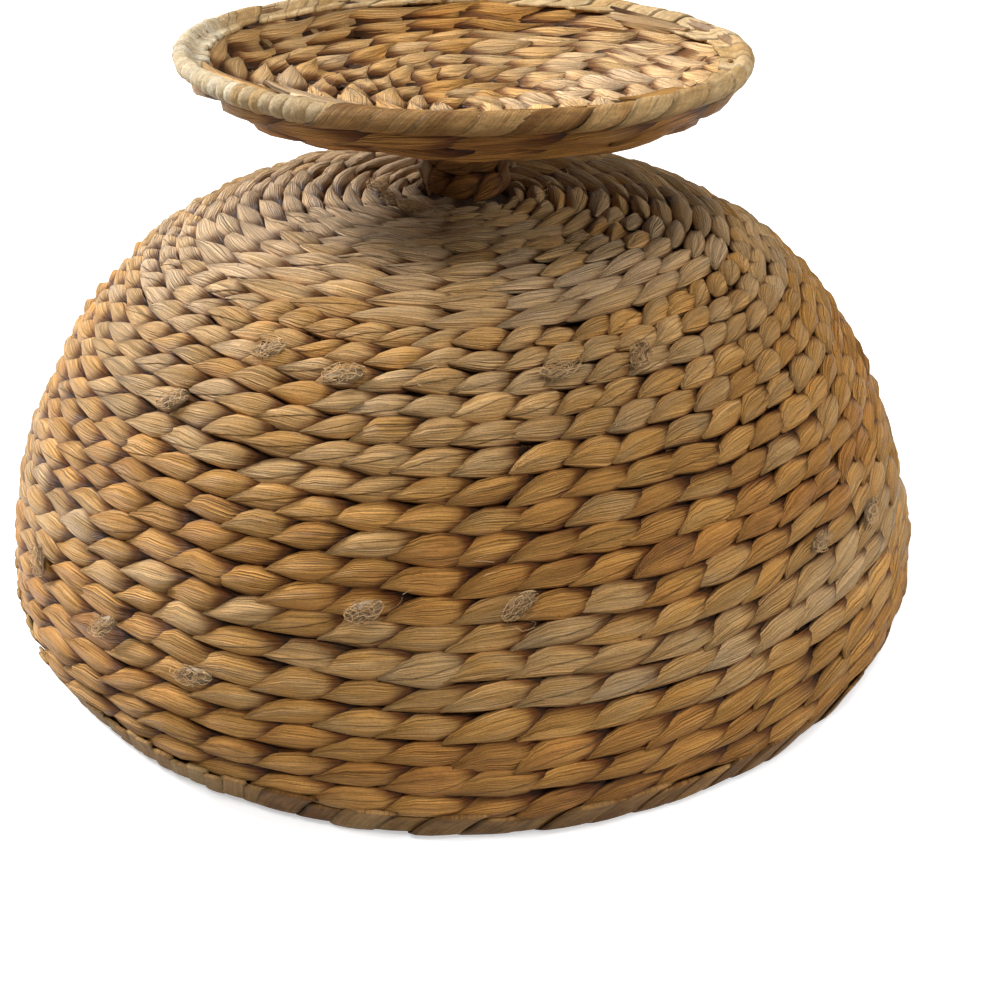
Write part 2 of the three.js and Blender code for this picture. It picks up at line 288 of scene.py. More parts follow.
# One stitch: a rolled leaf that comes up from lower left, passes over a stake and sinks at upper right
def leafMesh(name, look, behind, dive, deepest):
    look = {**plainLeaf, **look}
    form, tip = stitchShape, look["tip"]
    reach, thick, count, shoulder = (form[key] for key in ("reach", "thick", "rings", "shoulder"))

    def sunk(s):
        return -form["headDive" if s > 0 else "tailDive"] * dive * abs(s) ** form["diveCurve"]

    # Flattens what would come out on the wall's other side
    def settled(z):
        over = -z - 0.7 * deepest
        return z if over < 0 else deepest * (0.3 * exp(-over / (0.3 * deepest)) - 1)

    rings = []
    for i in range(count):
        s = -cos(pi * (i + 0.62) / (count + 0.24))
        upper, lower = stitchEdge(s, tip, look["corner"]), -stitchEdge(-s, tip, look["corner"])
        middle, half = (upper + lower) / 2, (upper - lower) / 2 * look["width"] * form["fuller"]
        shrink = cos(pi / 2 * s) ** 0.5
        crown = form["crown"] * shrink * look["crown"]
        fold = look["foldAt"] + look["foldRise"] * s
        ridgeAt = look["ridgeAt"] + look["ridgeTurn"] * s
        across = (-1, -shoulder, (fold - shoulder) / 2, fold, (fold + shoulder) / 2, shoulder, 1)
        ring = []
        for v, raised in zip(across, (0, 0, 0, -look["fold"], look["lift"], 0, 0)):
            slope = look["facets"] * abs(v - ridgeAt) / (1 + abs(ridgeAt))
            back = (1 - abs(v) ** form["square"]) ** form["round"] * (1 - slope)
            z = settled(sunk(s) - crown * (1 - back) + raised * shrink)
            ring.append(((reach * s, middle + half * v, z * mm), ((s + 1) / 2, (v + 1) / 2)))
        z = settled(sunk(s) - crown - thick * shrink) - 0.1
        ring.append(((reach * s, middle, z * mm), ((s + 1) / 2, 0.5)))
        rings.append(ring)
    tips = []
    for s in (-1, 1):
        z = settled(sunk(s) - thick / 2)
        tips.append(((reach * 1.02 * s, tip * s, z * mm), ((s + 1) / 2, 0.5)))
    strand = []
    halfLong, halfHigh = form["behindHalf"]
    for z in (-behind, -behind - form["behindThick"]):
        strand += [((x, y, z * mm), (0.02 + 0.96 * (x > 0), 0.05 + 0.9 * (y > 0)))
                   for x, y in ((-halfLong, -halfHigh), (halfLong, -halfHigh),
                                (halfLong, halfHigh), (-halfLong, halfHigh))]
    return ringMesh(name, rings, tips, strand)


leafLooks = [
    {"ridgeAt": 0.15},
    {"fold": 0.8, "lift": 0.3, "foldAt": -0.2, "foldRise": 0.5, "corner": 0.1},
    {"fold": 1.1, "lift": 0.4, "foldAt": 0.1, "foldRise": 0.6, "corner": -0.1},
    {"facets": 0.7, "ridgeAt": 0.35, "ridgeTurn": 0.5, "width": 1.03},
    {"facets": 0.65, "ridgeAt": -0.3, "fold": 0.3, "corner": 0.1},
    {"crown": 0.85, "tip": 0.36, "width": 1.04, "corner": 0.1, "facets": 0.35},
    {"fold": 0.8, "foldAt": 0.35, "foldRise": 0.3, "crown": 1.12, "corner": -0.1},
    {"crown": 1.1, "tip": 0.46, "width": 0.98, "facets": 0.55, "ridgeAt": 0.25},
    {"facets": 0.6, "ridgeAt": 0.1, "ridgeTurn": 0.7, "tip": 0.38, "corner": 0.15, "width": 1.05},
    {"facets": 0.5, "ridgeTurn": -0.2, "fold": 0.5, "foldAt": -0.4, "corner": -0.15},
]


def shapeCollection(name, meshes):
    shelf = bpy.data.collections.new(name)
    for mesh in meshes:
        shelf.objects.link(bpy.data.objects.new(mesh.name, mesh))
    return shelf


leafSets = {
    # depth of the strand behind in mm, share of the full dive, and deepest that a leaf may reach, mm
    "leaf": (5.3, 1.0, 5.2),
    "lining": (3.1, 0.8, 3.5),
    "dish underside": (3.6, 0.7, 4.1),
    "dish inside": (2.3, 0.54, 2.9),
}
shelves = {}
for setName, leafSet in leafSets.items():
    shelves[setName] = shapeCollection(f"{setName} shapes", [
        leafMesh(f"{setName} {i:02d}", look, *leafSet) for i, look in enumerate(leafLooks)])
print("leaf shapes made:", len(leafLooks), "for each of", len(shelves), "sets")


# One tree sets leaves along the rows of a flat strip, then bends the strip round the basket's wall

weaveLooks = {
    "unevenTurn": 0.07,      # how far leaves are turned out of line, radians
    "swell": (0.9, 1.12),    # smallest and largest leaf, as shares
    "lumpHeight": 0.0013, "lumpsPerMetre": 28.0,
}


def weaveTree():
    tree = bpy.data.node_groups.new("weave round a wall", "GeometryNodeTree")
    tree.is_modifier = True
    keys = {}
    for key, name, kind, default in (
            ("stitches", "Stitches", "Geometry", None),
            ("leaves", "Leaf Shapes", "Collection", None),
            ("section", "Wall Section", "Object", None),
            ("start", "Section Start", "Float", 0.0),
            ("relief", "Relief", "Float", 1.0),
            ("unevenTurn", "Uneven Turn", "Float", weaveLooks["unevenTurn"]),
            ("lumpHeight", "Lump Height", "Float", weaveLooks["lumpHeight"]),
            ("lumpSize", "Lumps per Metre", "Float", weaveLooks["lumpsPerMetre"]),
            ("finish", "Finish", "Material", None),
            ("seed", "Seed", "Int", 1)):
        socket = tree.interface.new_socket(name, in_out="INPUT", socket_type="NodeSocket" + kind)
        if default is not None:
            socket.default_value = default
        keys[key] = socket.identifier
    tree.interface.new_socket("Weave", in_out="OUTPUT", socket_type="NodeSocketGeometry")
    given = addNode(tree, "NodeGroupInput").outputs

    def attribute(name, kind="FLOAT"):
        return addNode(tree, "GeometryNodeInputNamedAttribute", {0: name}, data_type=kind).outputs[0]

    def chance(low, high, seed):
        node = addNode(tree, "FunctionNodeRandomValue", {2: low, 3: high, 8: seed}, data_type="FLOAT")
        return node.outputs[1]

    seeds = [mathNode(tree, "ADD", given["Seed"], step) for step in (0, 101, 202, 303)]
    unevenTurn = given["Uneven Turn"]
    lessTurn = mathNode(tree, "MULTIPLY", unevenTurn, -1)
    turns = [chance(lessTurn, unevenTurn, seed) for seed in seeds[:3]]
    flip = attribute("flip")
    roll = mathNode(tree, "ADD", mathNode(tree, "MULTIPLY", flip, pi), turns[0])
    turnUp = mathNode(tree, "ADD", attribute("turnUp"), turns[2])
    angles = joinedNode(tree, roll, turns[1], turnUp)
    swell = chance(*weaveLooks["swell"], seeds[3])
    size = joinedNode(tree, attribute("pitch"), mathNode(tree, "MULTIPLY", attribute("rowHeight"), swell),
                      mathNode(tree, "MULTIPLY", given["Relief"], swell))
    leaves = addNode(tree, "GeometryNodeCollectionInfo", {
        "Collection": given["Leaf Shapes"], "Separate Children": True, "Reset Children": True})
    turned = addNode(tree, "FunctionNodeEulerToRotation", {0: angles}).outputs[0]
    placed = addNode(tree, "GeometryNodeInstanceOnPoints", {
        "Points": given["Stitches"], "Instance": leaves.outputs[0], "Pick Instance": True,
        "Instance Index": attribute("kind", "INT"), "Rotation": turned, "Scale": size}).outputs[0]
    real = addNode(tree, "GeometryNodeRealizeInstances", {0: placed}).outputs[0]

    # How far each point lies below its stitch's crest, kept for the finish, which paints shade into the
    # deeper points
    here = addNode(tree, "GeometryNodeInputPosition").outputs[0]
    x, y, z = splitNode(tree, here)
    facing = mathNode(tree, "MULTIPLY_ADD", flip, -2.0, 1.0)
    sunk = mathNode(tree, "MULTIPLY", mathNode(tree, "SUBTRACT", z, attribute("crest")), facing)
    real = addNode(tree, "GeometryNodeStoreNamedAttribute", {
        "Geometry": real, "Name": "sunk", "Value": sunk}, data_type="FLOAT", domain="POINT").outputs[0]

    # Bend the strip: x is the way round, y the way along the section, z the height over it
    section = addNode(tree, "GeometryNodeObjectInfo", {"Object": given["Wall Section"]}).outputs["Geometry"]
    sample = addNode(tree, "GeometryNodeSampleCurve", {
        "Curves": section, "Length": mathNode(tree, "SUBTRACT", y, given["Section Start"]),
        "Curve Index": 0}, mode="LENGTH")
    px, _, pz = splitNode(tree, sample.outputs["Position"])
    tx, _, tz = splitNode(tree, sample.outputs["Tangent"])
    radius = mathNode(tree, "MULTIPLY_ADD", tz, z, px)
    height = mathNode(tree, "SUBTRACT", pz, mathNode(tree, "MULTIPLY", tx, z))
    angle = mathNode(tree, "DIVIDE", x, attribute("rowRadius"))
    bent = joinedNode(tree, mathNode(tree, "MULTIPLY", radius, mathNode(tree, "COSINE", angle)),
                      mathNode(tree, "MULTIPLY", radius, mathNode(tree, "SINE", angle)), height)
    lump = addNode(tree, "ShaderNodeTexNoise", {"Scale": given["Lumps per Metre"], "Detail": 1.5})
    push = vectorNode(tree, "SUBTRACT", lump.outputs["Color"], (0.5, 0.5, 0.5))
    push = vectorNode(tree, "SCALE", push, scale=mathNode(tree, "MULTIPLY", given["Lump Height"], 4))

    # Wrap the strip, push it about in lumps, smooth it and give it its finish
    for kind, inputs in (("SetPosition", {"Position": bent}), ("SetPosition", {"Offset": push}),
                         ("SetShadeSmooth", {}), ("SetMaterial", {"Material": given["Finish"]})):
        real = addNode(tree, "GeometryNode" + kind, {"Geometry": real, **inputs}).outputs[0]
    addNode(tree, "NodeGroupOutput", {0: real})
    return tree, keys


weave, weaveKeys = weaveTree()


# A section as a curve in the XZ plane, through points of [radius, height]
def sectionCurve(name, points):
    curve = bpy.data.curves.new(name, "CURVE")
    curve.dimensions = "3D"
    spline = curve.splines.new("POLY")
    spline.points.add(len(points) - 1)
    for point, (radius, height) in zip(spline.points, points):
        point.co = (radius * mm, 0, height * mm, 1)
    return addObject(name, curve)


def wallPoints(wall, start, end, steps=160):
    return [wall(start + (end - start) * i / steps) for i in range(steps + 1)]


# Cuts the corners of a path again and again until it is smooth
def softened(points, times=4):
    for _ in range(times):
        cut = [points[0]]
        for (ax, az), (bx, bz) in zip(points, points[1:]):
            cut += [(ax * near + bx * (1 - near), az * near + bz * (1 - near)) for near in (0.75, 0.25)]
        points = cut + [points[-1]]
    return points


def pathLength(points):
    return sum(dist(a, b) for a, b in zip(points, points[1:]))


# Turns a list of stitches into points that the tree reads
def guidePoints(name, stitches):
    mesh = bpy.data.meshes.new(name)
    mesh.from_pydata([stitch["place"] for stitch in stitches], [], [])
    for key in ("pitch", "rowHeight", "rowRadius", "flip", "turnUp", "crest", "kind"):
        layer = mesh.attributes.new(key, "INT" if key == "kind" else "FLOAT", "POINT")
        layer.data.foreach_set("value", [stitch[key] for stitch in stitches])
    layer = mesh.attributes.new("tint", "FLOAT_VECTOR", "POINT")
    layer.data.foreach_set("vector", [value for stitch in stitches for value in stitch["tint"]])
    return addObject(name, mesh)


# Evaluates the tree over the guide points and keeps the result as a plain mesh
def wovenPiece(name, stitches, shelf, section, start, finish, **settings):
    guide = guidePoints(name + " guide", stitches)
    modifier = guide.modifiers.new("weave", "NODES")
    modifier.node_group = weave
    values = {"leaves": shelf, "section": section, "start": start * mm, "finish": finish, **settings}
    for key, value in values.items():
        modifier[weaveKeys[key]] = value
    graph = bpy.context.evaluated_depsgraph_get()
    mesh = bpy.data.meshes.new_from_object(
        guide.evaluated_get(graph), preserve_all_data_layers=True, depsgraph=graph)
    mesh.name = name
    bpy.data.objects.remove(guide)
    piece = addObject(name, mesh)
    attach(piece, "root")
    print(name, "has", sum(len(face.vertices) - 2 for face in mesh.polygons), "triangles")
    return piece


# Finishes

def noiseNode(tree, vector, scale, detail=2.0, roughness=0.5, distortion=0.0):
    return addNode(tree, "ShaderNodeTexNoise", {
        "Vector": vector, "Scale": scale, "Detail": detail, "Roughness": roughness,
        "Distortion": distortion}).outputs["Fac"]


def rangeNode(tree, value, fromLow, fromHigh, toLow, toHigh, smooth=False):
    return addNode(tree, "ShaderNodeMapRange", {
        0: value, 1: fromLow, 2: fromHigh, 3: toLow, 4: toHigh},
        interpolation_type="SMOOTHSTEP" if smooth else "LINEAR").outputs[0]


def mixNode(tree, blend, factor, first, second):
    return addNode(tree, "ShaderNodeMix", {0: factor, 6: first, 7: second},
                   data_type="RGBA", blend_type=blend).outputs[2]


def rampNode(tree, value, stops):
    node = addNode(tree, "ShaderNodeValToRGB", {0: value})
    ramp = node.color_ramp
    for i, (place, colour) in enumerate(stops):
        stop = ramp.elements[i] if i < 2 else ramp.elements.new(place)
        stop.position = place
        stop.color = (*colour, 1)
    return node.outputs[0]


# A colour given as it looks on screen, out of 255
def shade(*colour):
    return tuple(((v / 255 + 0.055) / 1.055) ** 2.4 if v > 10 else v / 255 / 12.92 for v in colour)


leafFinish = {
    "grey": shade(208, 176, 138),
    "straw": shade(214, 172, 116),
    "golden": shade(210, 154, 80),
    "orange": shade(192, 132, 64),
    "brown": shade(142, 95, 50),
    "roughness": 0.5,
    "grooves": 1.0,
    # Painted shade in the creases between leaves: the colour darkens towards the tint between these depths
    # below the crest, and a tail counts as higher than a head
    "creaseShadeFrom": 1.45, "creaseShadeTo": 3.6,      # depths below the crest between which the leaf darkens, mm
    "creaseShadeTint": (0.27, 0.17, 0.1),
    "tailOver": 4.0,         # how much higher a leaf's tail counts than its head, mm, for the darkening
    "plies": 0.4,            # share of the leaves that are folded along their length
    "lines": 1.0,            # how strongly the fibres show
    "ribs": 14,              # fine ribs across a leaf's width
    "wrinkles": 0.0,
    "shine": 0.24,
}
rimFinish = {
    **leafFinish,
    "grey": shade(230, 214, 184),
    "straw": shade(216, 190, 148),
    "golden": shade(194, 158, 106),
    "orange": shade(174, 132, 80),
    "brown": shade(120, 82, 42),
    "roughness": 0.65, "grooves": 0.6, "plies": 0.25, "lines": 0.45, "wrinkles": 1.0, "shine": 0.12,
    "tailOver": 0.0,
}


leafPatterns = {
    # times along and across one leaf, shift, detail and roughness of each noise
    "fibres": (0.4, 20, 0, 3, 0.65),
    "hairs": (0.9, 60, 11, 2, 0.6),
    "grooves": (0.2, 7, 31, 0.5, 0.5),
    "fineGrooves": (0.3, 22, 47, 0.5, 0.5),
    "smoothPlaces": (1.8, 2.5, 53, 1, 0.5),
    "patches": (2.4, 2.2, 23, 2.5, 0.55),
    "sway": (0.5, 2.5, 71, 1.5, 0.5),
    "specks": (26, 14, 41, 1, 0.5),
    "wrinkles": (16, 3.5, 67, 3, 0.6),
}
leafShading = {
    # how much each pattern darkens and lightens the leaf; the fold line, the edges and the deepest gaps are
    # darkened as painted shade
    "fibres": (0.14, 0.08), "hairs": (0.14, 0.12), "ribs": (0.17, 0.11), "grooves": (0.38, 0),
    "fineGrooves": (0.3, 0), "wrinkles": (0.16, 0.08),
    "foldShadow": 0.6, "edge": 0.6, "speck": 0.7, "gapShade": 0.3,
}


def leafMaterial(name, look):
    material = bpy.data.materials.new(name)
    tree = emptyTree(material)
    uv = addNode(tree, "ShaderNodeUVMap", uv_map="leafUV").outputs[0]
    place = addNode(tree, "ShaderNodeTexCoord").outputs["Object"]
    tint = addNode(tree, "ShaderNodeAttribute", attribute_name="tint").outputs["Vector"]
    tone, light, seed = splitNode(tree, tint)
    sunk = addNode(tree, "ShaderNodeAttribute", attribute_name="sunk").outputs["Fac"]
    u, v, _ = splitNode(tree, uv)
    # Painted shade: a tail counts as shallower and a head as deeper, so each tail looks to lie over the
    # darker head under it
    sunk = mathNode(tree, "MULTIPLY_ADD", mathNode(tree, "SUBTRACT", 0.5, u), look["tailOver"] * mm, sunk)

    def pattern(name, distortion=0.0):
        alongTimes, acrossTimes, shift, detail, roughness = leafPatterns[name]
        place = joinedNode(tree, mathNode(tree, "MULTIPLY", u, alongTimes),
                           mathNode(tree, "MULTIPLY", v, acrossTimes),
                           mathNode(tree, "MULTIPLY_ADD", seed, 97.0, shift))
        return noiseNode(tree, place, 1.0, detail, roughness, distortion)

    def creases(name, width):
        away = mathNode(tree, "ABSOLUTE", mathNode(tree, "SUBTRACT", pattern(name), 0.5))
        return rangeNode(tree, away, 0.0, width, 0.0, 1.0, True)

    fibres, hairs, patches, specks = (pattern(key) for key in ("fibres", "hairs", "patches", "specks"))
    wrinkles = pattern("wrinkles", 0.6)
    bare = pattern("smoothPlaces")
    grooves = mathNode(tree, "MAXIMUM", creases("grooves", 0.035),
                       rangeNode(tree, bare, 0.4, 0.6, 0.0, 0.8, True))
    fineGrooves = mathNode(tree, "MAXIMUM", creases("fineGrooves", 0.06),
                           rangeNode(tree, bare, 0.42, 0.55, 0.9, 0.0, True))
    ribs = mathNode(tree, "MULTIPLY_ADD", v, look["ribs"] * 2 * pi,
                    mathNode(tree, "MULTIPLY", pattern("sway"), 26.0))
    ribs = mathNode(tree, "MULTIPLY", mathNode(tree, "SINE", ribs), rangeNode(tree, seed, 0.2, 0.8, 0.1, 1.0))
    grain = noiseNode(tree, place, 1500.0, 2.0, 0.6)

    # A leaf folded along its length shows one ply lying over the other, with painted shadow along the fold
    foldPlace = mathNode(tree, "MULTIPLY_ADD", mathNode(tree, "SUBTRACT", u, 0.5), 0.6,
                         rangeNode(tree, seed, 0.0, look["plies"], 0.22, 0.5))
    overFold = mathNode(tree, "SUBTRACT", v, mathNode(tree, "MULTIPLY_ADD", fibres, 0.08, foldPlace))
    folded = mathNode(tree, "LESS_THAN", seed, look["plies"])
    ply = mathNode(tree, "MULTIPLY", rangeNode(tree, overFold, -0.03, 0.02, 0.0, 1.0, True), folded)
    foldShadow = rangeNode(tree, mathNode(tree, "ABSOLUTE", overFold), 0.0, 0.045, 1.0, 0.0, True)
    foldShadow = mathNode(tree, "MULTIPLY", foldShadow, folded)

    toneHere = mathNode(tree, "ADD", tone, rangeNode(tree, patches, 0.3, 0.7, -0.1, 0.1))
    toneHere = mathNode(tree, "ADD", toneHere, rangeNode(tree, fibres, 0.3, 0.7, 0.06, -0.06))
    colour = rampNode(tree, toneHere, [
        (0.0, look["grey"]), (1.0, look["brown"]), (0.3, look["straw"]), (0.58, look["golden"]),
        (0.82, look["orange"])])
    edge = mathNode(tree, "ABSOLUTE", mathNode(tree, "SUBTRACT", v, 0.5))

    def shaded(name, value, low, high, strength):
        darker, lighter = leafShading[name]
        return rangeNode(tree, value, low, high, 1 - darker * strength, 1 + lighter * strength)

    lines, wrinkled = look["lines"], look["wrinkles"]
    level = light
    for value in (
            shaded("fibres", fibres, 0.33, 0.62, lines),
            shaded("hairs", hairs, 0.3, 0.7, lines),
            shaded("ribs", ribs, -1.0, 1.0, lines),
            shaded("grooves", grooves, 0.0, 1.0, lines),
            shaded("fineGrooves", fineGrooves, 0.0, 1.0, lines),
            shaded("wrinkles", wrinkles, 0.4, 0.6, wrinkled),
            # Darker along the fold, where one ply lies over the other: painted shadow
            rangeNode(tree, foldShadow, 0.0, 1.0, 1.0, leafShading["foldShadow"]),
            # Darker at the leaf's edges, where it rolls under its neighbours: painted shade
            rangeNode(tree, edge, 0.42, 0.5, 1.0, leafShading["edge"], True),
            rangeNode(tree, specks, 0.68, 0.76, 1.0, leafShading["speck"], True),
            rangeNode(tree, grain, 0.3, 0.7, 0.9, 1.1)):
        level = mathNode(tree, "MULTIPLY", level, value)
    # Painted shade: the deeper a point lies below its crest, the darker and browner it is
    creaseShade = rangeNode(tree, sunk, look["creaseShadeFrom"] * -mm, look["creaseShadeTo"] * -mm, 0.0, 1.0, True)
    colour = mixNode(tree, "MULTIPLY", creaseShade, colour, (*look["creaseShadeTint"], 1))
    # Painted shade: the deepest gaps between leaves are darker still
    gapShade = rangeNode(tree, sunk, look["creaseShadeTo"] * -mm, (look["creaseShadeTo"] + 1.2) * -mm, 1.0,
                     leafShading["gapShade"], True)
    colour = vectorNode(tree, "SCALE", colour, scale=mathNode(tree, "MULTIPLY", level, gapShade))
    height = mathNode(tree, "MULTIPLY_ADD", ply, 0.5, mathNode(tree, "MULTIPLY", fibres, lines))
    for value, share in ((ribs, 0.11 * lines), (grooves, 0.35 * lines), (fineGrooves, 0.2 * lines),
                         (hairs, 0.15), (wrinkles, 0.5 * wrinkled), (grain, 0.05)):
        height = mathNode(tree, "MULTIPLY_ADD", value, share, height)
    bump = addNode(tree, "ShaderNodeBump", {
        "Strength": look["grooves"], "Distance": 0.0013, "Height": height}).outputs[0]
    shader = addNode(tree, "ShaderNodeBsdfPrincipled", {
        "Base Color": colour, "Roughness": look["roughness"], "Normal": bump})
    shader.inputs["Specular IOR Level"].default_value = look["shine"]
    addNode(tree, "ShaderNodeOutputMaterial", {0: shader.outputs[0]})
    return material


seagrass = leafMaterial("seagrass leaf", leafFinish)
rimLeaf = leafMaterial("rim leaf", rimFinish)
dishLeaf = leafMaterial("dish leaf", {**leafFinish, "creaseShadeFrom": 1.0, "creaseShadeTo": 2.8})


caneFinish = {"pale": shade(146, 112, 70), "dark": shade(96, 68, 38)}
# The last value sets how dark the pith is made close to the leaf: painted shade under the fibres
pithFinish = {"pale": shade(224, 188, 136), "dark": shade(170, 130, 82), "hollowShade": 0.45}


def caneMaterial(name, look):
    material = bpy.data.materials.new(name)
    tree = emptyTree(material)
    place = addNode(tree, "ShaderNodeTexCoord").outputs["Object"]
    grain = noiseNode(tree, place, 420.0, 3.0)
    patches = noiseNode(tree, place, 60.0, 2.0)
    mix = mathNode(tree, "MULTIPLY_ADD", grain, 0.6, mathNode(tree, "MULTIPLY", patches, 0.4))
    colour = rampNode(tree, mix, [(0.3, look["dark"]), (0.7, look["pale"])])
    # Close to the leaf's surface the pith is darkened: painted shade under the fibres
    if "hollowShade" in look:
        sunk = addNode(tree, "ShaderNodeAttribute", attribute_name="sunk").outputs["Fac"]
        paintedHollowShade = rangeNode(tree, sunk, 0.1 * mm, 0.7 * mm, look["hollowShade"], 1.0, True)
        colour = vectorNode(tree, "SCALE", colour, scale=paintedHollowShade)
    bump = addNode(tree, "ShaderNodeBump", {"Strength": 0.5, "Distance": 0.0006, "Height": grain}).outputs[0]
    shader = addNode(tree, "ShaderNodeBsdfPrincipled", {
        "Base Color": colour, "Roughness": 0.55, "Normal": bump})
    addNode(tree, "ShaderNodeOutputMaterial", {0: shader.outputs[0]})
    return material


cane = caneMaterial("cane", caneFinish)
pith = caneMaterial("pith", pithFinish)
paleCane = caneMaterial("pale cane", {"pale": pithFinish["pale"], "dark": pithFinish["dark"]})
for name in ("bowl_stakes", "bowl_rim_hoop", "foot_stakes", "foot_rim_hoop", "stem_stakes"):
    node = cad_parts[name]
    node.data.materials.clear()
    node.data.materials.append(paleCane if name == "stem_stakes" else cane)
print("finishes made")


# Rows of stitches

toneSpread = {
    "run": (4, 16),          # stitches that one strand's leaf lasts for
    "field": 0.24, "fieldSize": 1.4, "fieldRows": 4,     # slow changes round the basket and up it
    "single": 0.04,
    # random brightness of runs and of single leaves; the last value makes leaves on a lit side brighter,
    # painted light
    "lights": (0.92, 1.08), "litSideBoost": 0.28,
}
handLaid = {
    # shares of a stitch or a row, and mm for the height, by which stitches are laid unevenly
    "turn": 0.04, "along": 0.03, "height": (-0.4, 0.3), "length": (0.96, 1.06),
}


# Tones and brightness of the two strands that take turns along the rows. Each keeps to one leaf for a
# while, and neighbouring rows were twined from the same bundle, so they are alike.
def strandTones(rng, counts, look, tone, paintedLight):
    tones = []
    shift = rng.uniform(0, 50)
    size, lights = toneSpread["fieldSize"], toneSpread["lights"]
    firstTurn = radians(look["firstTurn"]) if tone else 0       # only matters to a tone by place
    runs = [[0, 0.0, 1.0], [0, 0.0, 1.0]]
    for row, count in enumerate(counts):
        for k in range(count):
            run = runs[len(tones) % 2]
            if run[0] <= 0:
                run[:] = [rng.randint(*toneSpread["run"]), rng.gauss(0, look["spread"]), rng.uniform(*lights)]
            run[0] -= 1
            turn = 2 * pi * k / count + firstTurn
            spot = (size * cos(turn), size * sin(turn), row / toneSpread["fieldRows"] + shift)
            here = ((tone(row, turn) if tone else look["tone"]) + toneSpread["field"] * noise.noise(spot)
                    + run[1] + rng.gauss(0, toneSpread["single"]))
            # Leaves on a lit side are made brighter: painted light
            pale = 1 + toneSpread["litSideBoost"] * paintedLight(row, turn) if paintedLight else 1
            tones.append((min(1, max(0, here)), run[2] * rng.uniform(*lights) * pale * look.get("light", 1)))
    return tones


# A guide point: its place on the flat strip, its size in mm, and what the finish reads
def guideAt(turn, radius, along, height, length, wide, **more):
    return {"place": (turn * radius * mm, along * mm, height * mm), "pitch": length * mm,
            "rowHeight": wide * mm, "rowRadius": radius * mm, "flip": 0.0, "turnUp": 0.0,
            "crest": height * mm, "kind": 0, **more}


# The stitches of one side of a wall. Their tone comes from the look or, place by place, from functions.
def layRows(rng, wall, rows, counts, look, tone=None, paintedLight=None, lean=None):
    tones = strandTones(rng, counts, look, tone, paintedLight)
    stitches = []
    uneven, longer = handLaid["turn"], handLaid["along"]
    depth, overlap = look.get("depth", 0.0), look.get("overlap", 1.08)
    for (low, high), count in zip(zip(rows, rows[1:]), counts):
        middle = (low + high) / 2
        radius = wall(middle, depth)[0]
        step = 2 * pi / count
        for k in range(count):
            angle = radians(look["firstTurn"]) + (k + rng.uniform(-uneven, uneven)) * step
            along = middle + rng.uniform(-longer, longer) * (high - low)
            height = -depth + rng.uniform(*handLaid["height"])
            length = step * radius * rng.uniform(*handLaid["length"])
            stitches.append(guideAt(
                angle, radius, along, height, length, (high - low) * overlap, flip=float(depth > 0),
                turnUp=lean(angle) if lean else 0.0, crest=-depth * mm, kind=rng.randrange(len(leafLooks)),
                tint=(*tones[len(stitches)], rng.random())))
    return stitches


bowlWeave = {
    "stitches": 54,          # round every row out to where the stakes come together in pairs
    "pairedBelow": 92, "knotBelow": 50,
    "firstTurn": -86,        # degrees, the first stitch's middle, on the stakes
    "underStem": 6.4,        # one more row under the stem, mm
    # tone of some rows: browner low down, golden in the middle and greyer towards the crown
    "tones": {0: 0.7, 2: 0.62, 4: 0.45, 6: 0.5, 8: 0.62, 12: 0.58, 15: 0.35, 17: 0.44, 19: 0.26, 29: 0.24},
    # On the side towards the key lamp the rows are paler, painted light; on the far side the top rows are
    # browner, painted shade
    "spread": 0.07, "litSideTone": -0.34, "paintedLightingTone": 0.12,
    "litSideFrom": 7, "litSideOver": 11,               # rows
    "shadedFrom": 20, "shadedOver": 8,
    "lowerRows": 12,         # rows of the lower of the two pieces, the same as the courses that it replaces
    "seed": 11,
}
liningWeave = {
    "stitches": bowlWeave["stitches"], "pairedBelow": 84, "knotBelow": 44,
    "depth": bowlShape["wall"] + 0.5,
    "crownRows": (6.4, 12.0, 16.5), "crownStitches": [9, 6],     # rows that close the crown, mm from its edge
    "firstTurn": bowlWeave["firstTurn"], "tone": 0.5, "spread": 0.12,
    "seed": 5,
}


def stitchCounts(wall, rows, look, depth=0.0):
    counts = []
    for low, high in zip(rows, rows[1:]):
        radius = wall((low + high) / 2, depth)[0]
        counts.append(look["stitches"] // (1 if radius > look["pairedBelow"] else
                                           2 if radius > look["knotBelow"] else 4))
    return counts


sectionFrom, sectionTo = bowlStart - bowlShape["runOn"][0], bowlEnd + bowlShape["runOn"][1]
bowlSection = sectionCurve("bowl section", wallPoints(bowlWall, sectionFrom, sectionTo))
rng = random.Random(bowlWeave["seed"])
outerRows = bowlRows + [bowlEnd + bowlWeave["underStem"]]
counts = stitchCounts(bowlWall, outerRows, bowlWeave)


# The side towards the key lamp, from the middle rows up, where the leaves are made paler in tone and
# brighter: painted light
def litSide(row, turn):
    look = bowlWeave
    return max(0, -cos(turn)) * min(1, max(0, row - look["litSideFrom"]) / look["litSideOver"])


def bowlTone(row, turn):
    look, known = bowlWeave, bowlWeave["tones"]
    low = max(r for r in known if r <= row)
    high = min(r for r in known if r >= row)
    share = (row - low) / max(1, high - low)
    # Upper rows on the far side from the key lamp are browner: painted shade
    shaded = max(0, cos(turn)) * max(0, row - look["shadedFrom"]) / look["shadedOver"]
    return (known[low] + (known[high] - known[low]) * share + look["litSideTone"] * litSide(row, turn)
            + look["paintedLightingTone"] * shaded)


